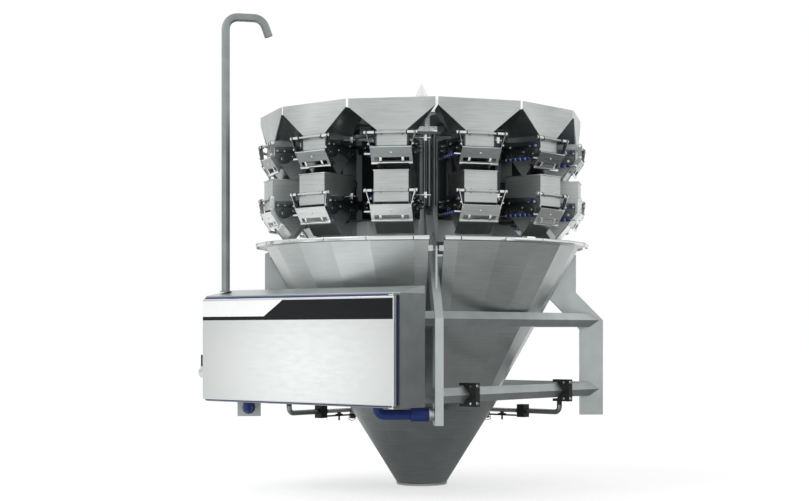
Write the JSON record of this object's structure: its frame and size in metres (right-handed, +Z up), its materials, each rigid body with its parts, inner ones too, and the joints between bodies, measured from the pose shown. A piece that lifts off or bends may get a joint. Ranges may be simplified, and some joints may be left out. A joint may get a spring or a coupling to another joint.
{
  "type": "multihead weigher",
  "caption": "Multihead combination weigher: a ring of pool and weigh hoppers with hinged gates over collecting chutes and a discharge funnel, on a steel frame with a control cabinet.",
  "frame": {"origin": "middle of the front leg's sole, where the machine is bolted to its platform", "axes": "+Z up; the cabinet's door looks along -Y; the machine's axis stands 0.566 m along -X and 0.566 m along +Y from the origin"},
  "size_m": [1.5373, 1.6216, 2.153],
  "materials": {
    "brushed_stainless": "brushed and patterned stainless sheet",
    "blasted_stainless": "bead-blasted stainless tube and plate",
    "polished_stainless": "polished stainless sheet",
    "black_nylon": "matte black moulded clamps on dark tube",
    "blue_nylon": "blue moulded conduit"
  },
  "bodies": {
    "machine": {"frame": "blasted_stainless", "central_body": "blasted_stainless", "head_01": "brushed_stainless", "head_02": "brushed_stainless", "head_03": "brushed_stainless", "head_04": "brushed_stainless", "head_05": "brushed_stainless", "head_06": "brushed_stainless", "head_07": "brushed_stainless", "head_08": "brushed_stainless", "head_09": "brushed_stainless", "head_10": "brushed_stainless", "head_11": "brushed_stainless", "head_12": "brushed_stainless", "feeder_deck": "brushed_stainless", "dispersion_cone": "brushed_stainless", "chute_right": "brushed_stainless", "chute_back": "brushed_stainless", "chute_left": "brushed_stainless", "chute_front": "brushed_stainless", "discharge_funnel": "brushed_stainless", "funnel_support_right": "black_nylon", "funnel_support_left": "black_nylon", "beam_clamp_right": "black_nylon", "beam_clamp_left": "black_nylon", "cabinet": "brushed_stainless", "mast": "blasted_stainless", "conduit_right": "blue_nylon", "conduit_left": "blue_nylon"},
    "cabinet_door": {"cabinet_door": "polished_stainless"},
    "pool_gate_01": {"pool_gate_01": "brushed_stainless"},
    "weigh_gate_01": {"weigh_gate_01": "polished_stainless"},
    "pool_gate_02": {"pool_gate_02": "brushed_stainless"},
    "weigh_gate_02": {"weigh_gate_02": "polished_stainless"},
    "pool_gate_03": {"pool_gate_03": "brushed_stainless"},
    "weigh_gate_03": {"weigh_gate_03": "polished_stainless"},
    "pool_gate_04": {"pool_gate_04": "brushed_stainless"},
    "weigh_gate_04": {"weigh_gate_04": "polished_stainless"},
    "pool_gate_05": {"pool_gate_05": "brushed_stainless"},
    "weigh_gate_05": {"weigh_gate_05": "polished_stainless"},
    "pool_gate_06": {"pool_gate_06": "brushed_stainless"},
    "weigh_gate_06": {"weigh_gate_06": "polished_stainless"},
    "pool_gate_07": {"pool_gate_07": "brushed_stainless"},
    "weigh_gate_07": {"weigh_gate_07": "polished_stainless"},
    "pool_gate_08": {"pool_gate_08": "brushed_stainless"},
    "weigh_gate_08": {"weigh_gate_08": "polished_stainless"},
    "pool_gate_09": {"pool_gate_09": "brushed_stainless"},
    "weigh_gate_09": {"weigh_gate_09": "polished_stainless"},
    "pool_gate_10": {"pool_gate_10": "brushed_stainless"},
    "weigh_gate_10": {"weigh_gate_10": "polished_stainless"},
    "pool_gate_11": {"pool_gate_11": "brushed_stainless"},
    "weigh_gate_11": {"weigh_gate_11": "polished_stainless"},
    "pool_gate_12": {"pool_gate_12": "brushed_stainless"},
    "weigh_gate_12": {"weigh_gate_12": "polished_stainless"}
  },
  "joints": [
    {"name": "cabinet_door_hinge", "type": "hinge", "parent": "machine", "child": "cabinet_door", "pos_m": [-0.01004, -0.27723, 0.3], "axis": [0, 0, 1], "range_deg": [0, 120]},
    {"name": "pool_gate_01_hinge", "type": "hinge", "parent": "machine", "child": "pool_gate_01", "pos_m": [0.17896, 0.56604, 1.228], "axis": [0, -1, 0], "range_deg": [0, 22], "stiffness_Nm_per_rad": 2.5, "springref_deg": -34.38},
    {"name": "weigh_gate_01_hinge", "type": "hinge", "parent": "machine", "child": "weigh_gate_01", "pos_m": [0.17896, 0.56604, 0.984], "axis": [0, -1, 0], "range_deg": [0, 22], "stiffness_Nm_per_rad": 2.5, "springref_deg": -34.38},
    {"name": "pool_gate_02_hinge", "type": "hinge", "parent": "machine", "child": "pool_gate_02", "pos_m": [0.07915, 0.93854, 1.228], "axis": [0.5, -0.866, 0], "range_deg": [0, 22], "stiffness_Nm_per_rad": 2.5, "springref_deg": -34.38},
    {"name": "weigh_gate_02_hinge", "type": "hinge", "parent": "machine", "child": "weigh_gate_02", "pos_m": [0.07915, 0.93854, 0.984], "axis": [0.5, -0.866, 0], "range_deg": [0, 22], "stiffness_Nm_per_rad": 2.5, "springref_deg": -34.38},
    {"name": "pool_gate_03_hinge", "type": "hinge", "parent": "machine", "child": "pool_gate_03", "pos_m": [-0.19354, 1.21123, 1.228], "axis": [0.866, -0.5, 0], "range_deg": [0, 22], "stiffness_Nm_per_rad": 2.5, "springref_deg": -34.38},
    {"name": "weigh_gate_03_hinge", "type": "hinge", "parent": "machine", "child": "weigh_gate_03", "pos_m": [-0.19354, 1.21123, 0.984], "axis": [0.866, -0.5, 0], "range_deg": [0, 22], "stiffness_Nm_per_rad": 2.5, "springref_deg": -34.38},
    {"name": "pool_gate_04_hinge", "type": "hinge", "parent": "machine", "child": "pool_gate_04", "pos_m": [-0.56604, 1.31104, 1.228], "axis": [1, 0, 0], "range_deg": [0, 22], "stiffness_Nm_per_rad": 2.5, "springref_deg": -34.38},
    {"name": "weigh_gate_04_hinge", "type": "hinge", "parent": "machine", "child": "weigh_gate_04", "pos_m": [-0.56604, 1.31104, 0.984], "axis": [1, 0, 0], "range_deg": [0, 22], "stiffness_Nm_per_rad": 2.5, "springref_deg": -34.38},
    {"name": "pool_gate_05_hinge", "type": "hinge", "parent": "machine", "child": "pool_gate_05", "pos_m": [-0.93854, 1.21123, 1.228], "axis": [0.866, 0.5, 0], "range_deg": [0, 22], "stiffness_Nm_per_rad": 2.5, "springref_deg": -34.38},
    {"name": "weigh_gate_05_hinge", "type": "hinge", "parent": "machine", "child": "weigh_gate_05", "pos_m": [-0.93854, 1.21123, 0.984], "axis": [0.866, 0.5, 0], "range_deg": [0, 22], "stiffness_Nm_per_rad": 2.5, "springref_deg": -34.38},
    {"name": "pool_gate_06_hinge", "type": "hinge", "parent": "machine", "child": "pool_gate_06", "pos_m": [-1.21123, 0.93854, 1.228], "axis": [0.5, 0.866, 0], "range_deg": [0, 22], "stiffness_Nm_per_rad": 2.5, "springref_deg": -34.38},
    {"name": "weigh_gate_06_hinge", "type": "hinge", "parent": "machine", "child": "weigh_gate_06", "pos_m": [-1.21123, 0.93854, 0.984], "axis": [0.5, 0.866, 0], "range_deg": [0, 22], "stiffness_Nm_per_rad": 2.5, "springref_deg": -34.38},
    {"name": "pool_gate_07_hinge", "type": "hinge", "parent": "machine", "child": "pool_gate_07", "pos_m": [-1.31104, 0.56604, 1.228], "axis": [0, 1, 0], "range_deg": [0, 22], "stiffness_Nm_per_rad": 2.5, "springref_deg": -34.38},
    {"name": "weigh_gate_07_hinge", "type": "hinge", "parent": "machine", "child": "weigh_gate_07", "pos_m": [-1.31104, 0.56604, 0.984], "axis": [0, 1, 0], "range_deg": [0, 22], "stiffness_Nm_per_rad": 2.5, "springref_deg": -34.38},
    {"name": "pool_gate_08_hinge", "type": "hinge", "parent": "machine", "child": "pool_gate_08", "pos_m": [-1.21123, 0.19354, 1.228], "axis": [-0.5, 0.866, 0], "range_deg": [0, 22], "stiffness_Nm_per_rad": 2.5, "springref_deg": -34.38},
    {"name": "weigh_gate_08_hinge", "type": "hinge", "parent": "machine", "child": "weigh_gate_08", "pos_m": [-1.21123, 0.19354, 0.984], "axis": [-0.5, 0.866, 0], "range_deg": [0, 22], "stiffness_Nm_per_rad": 2.5, "springref_deg": -34.38},
    {"name": "pool_gate_09_hinge", "type": "hinge", "parent": "machine", "child": "pool_gate_09", "pos_m": [-0.93854, -0.07915, 1.228], "axis": [-0.866, 0.5, 0], "range_deg": [0, 22], "stiffness_Nm_per_rad": 2.5, "springref_deg": -34.38},
    {"name": "weigh_gate_09_hinge", "type": "hinge", "parent": "machine", "child": "weigh_gate_09", "pos_m": [-0.93854, -0.07915, 0.984], "axis": [-0.866, 0.5, 0], "range_deg": [0, 22], "stiffness_Nm_per_rad": 2.5, "springref_deg": -34.38},
    {"name": "pool_gate_10_hinge", "type": "hinge", "parent": "machine", "child": "pool_gate_10", "pos_m": [-0.56604, -0.17896, 1.228], "axis": [-1, 0, 0], "range_deg": [0, 22], "stiffness_Nm_per_rad": 2.5, "springref_deg": -34.38},
    {"name": "weigh_gate_10_hinge", "type": "hinge", "parent": "machine", "child": "weigh_gate_10", "pos_m": [-0.56604, -0.17896, 0.984], "axis": [-1, 0, 0], "range_deg": [0, 22], "stiffness_Nm_per_rad": 2.5, "springref_deg": -34.38},
    {"name": "pool_gate_11_hinge", "type": "hinge", "parent": "machine", "child": "pool_gate_11", "pos_m": [-0.19354, -0.07915, 1.228], "axis": [-0.866, -0.5, 0], "range_deg": [0, 22], "stiffness_Nm_per_rad": 2.5, "springref_deg": -34.38},
    {"name": "weigh_gate_11_hinge", "type": "hinge", "parent": "machine", "child": "weigh_gate_11", "pos_m": [-0.19354, -0.07915, 0.984], "axis": [-0.866, -0.5, 0], "range_deg": [0, 22], "stiffness_Nm_per_rad": 2.5, "springref_deg": -34.38},
    {"name": "pool_gate_12_hinge", "type": "hinge", "parent": "machine", "child": "pool_gate_12", "pos_m": [0.07915, 0.19354, 1.228], "axis": [-0.5, -0.866, 0], "range_deg": [0, 22], "stiffness_Nm_per_rad": 2.5, "springref_deg": -34.38},
    {"name": "weigh_gate_12_hinge", "type": "hinge", "parent": "machine", "child": "weigh_gate_12", "pos_m": [0.07915, 0.19354, 0.984], "axis": [-0.5, -0.866, 0], "range_deg": [0, 22], "stiffness_Nm_per_rad": 2.5, "springref_deg": -34.38}
  ]
}
